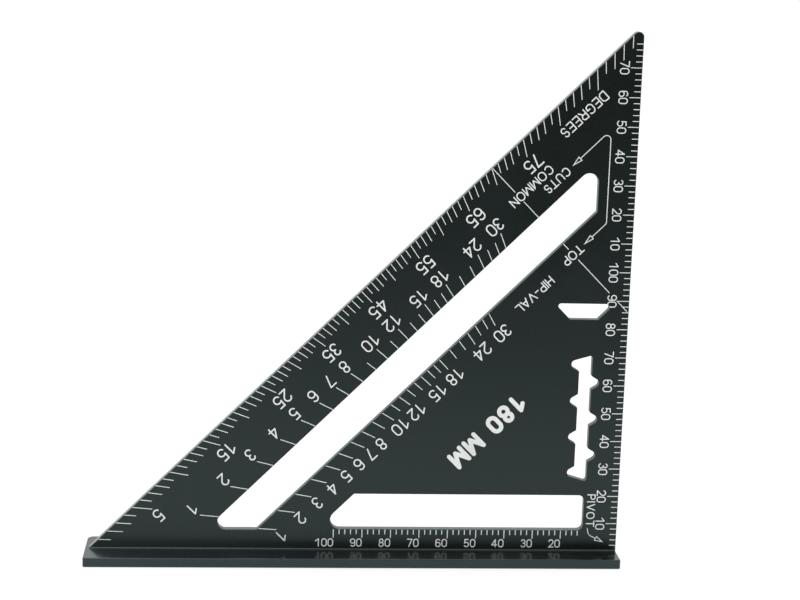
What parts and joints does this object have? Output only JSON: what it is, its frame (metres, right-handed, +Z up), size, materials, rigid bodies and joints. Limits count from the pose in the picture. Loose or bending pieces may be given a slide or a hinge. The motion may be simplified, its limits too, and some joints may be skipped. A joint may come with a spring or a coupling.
{
  "type": "speed square",
  "caption": "Triangular rafter square: a thin blade with scales, a long slot, windows and a notched scribing slot, standing in a flat fence that hooks over a board's edge.",
  "frame": {"origin": "centre of the fence's flat underside", "axes": "+X along the fence towards the upright edge and its pivot corner, +Y from the front face with all the scales towards the back face, +Z up from the fence's underside"},
  "size_m": [0.1858, 0.0232, 0.1854],
  "materials": {
    "coated_aluminium": "satin dark grey coat over cast or extruded aluminium",
    "marking_paint": "matte off-white paint fill"
  },
  "bodies": {
    "root": {"blade": "coated_aluminium", "fence": "coated_aluminium", "edge_scale_ticks": "marking_paint", "edge_scale_numerals": "marking_paint", "degree_scale_ticks": "marking_paint", "degree_scale_numerals": "marking_paint", "degree_scale_name": "marking_paint", "common_rafter_ticks": "marking_paint", "common_rafter_numerals": "marking_paint", "common_rafter_name": "marking_paint", "hip_valley_ticks": "marking_paint", "hip_valley_numerals": "marking_paint", "hip_valley_name": "marking_paint", "ruler_scale_ticks": "marking_paint", "ruler_scale_numerals": "marking_paint", "top_cut_line": "marking_paint", "top_cut_arrows": "marking_paint", "top_cut_words": "marking_paint", "pivot_name": "marking_paint", "pivot_arrow": "marking_paint", "nominal_size_mark": "marking_paint", "back_edge_scale_ticks": "marking_paint", "back_edge_scale_numerals": "marking_paint", "back_degree_scale_ticks": "marking_paint", "back_degree_scale_numerals": "marking_paint"}
  },
  "joints": []
}
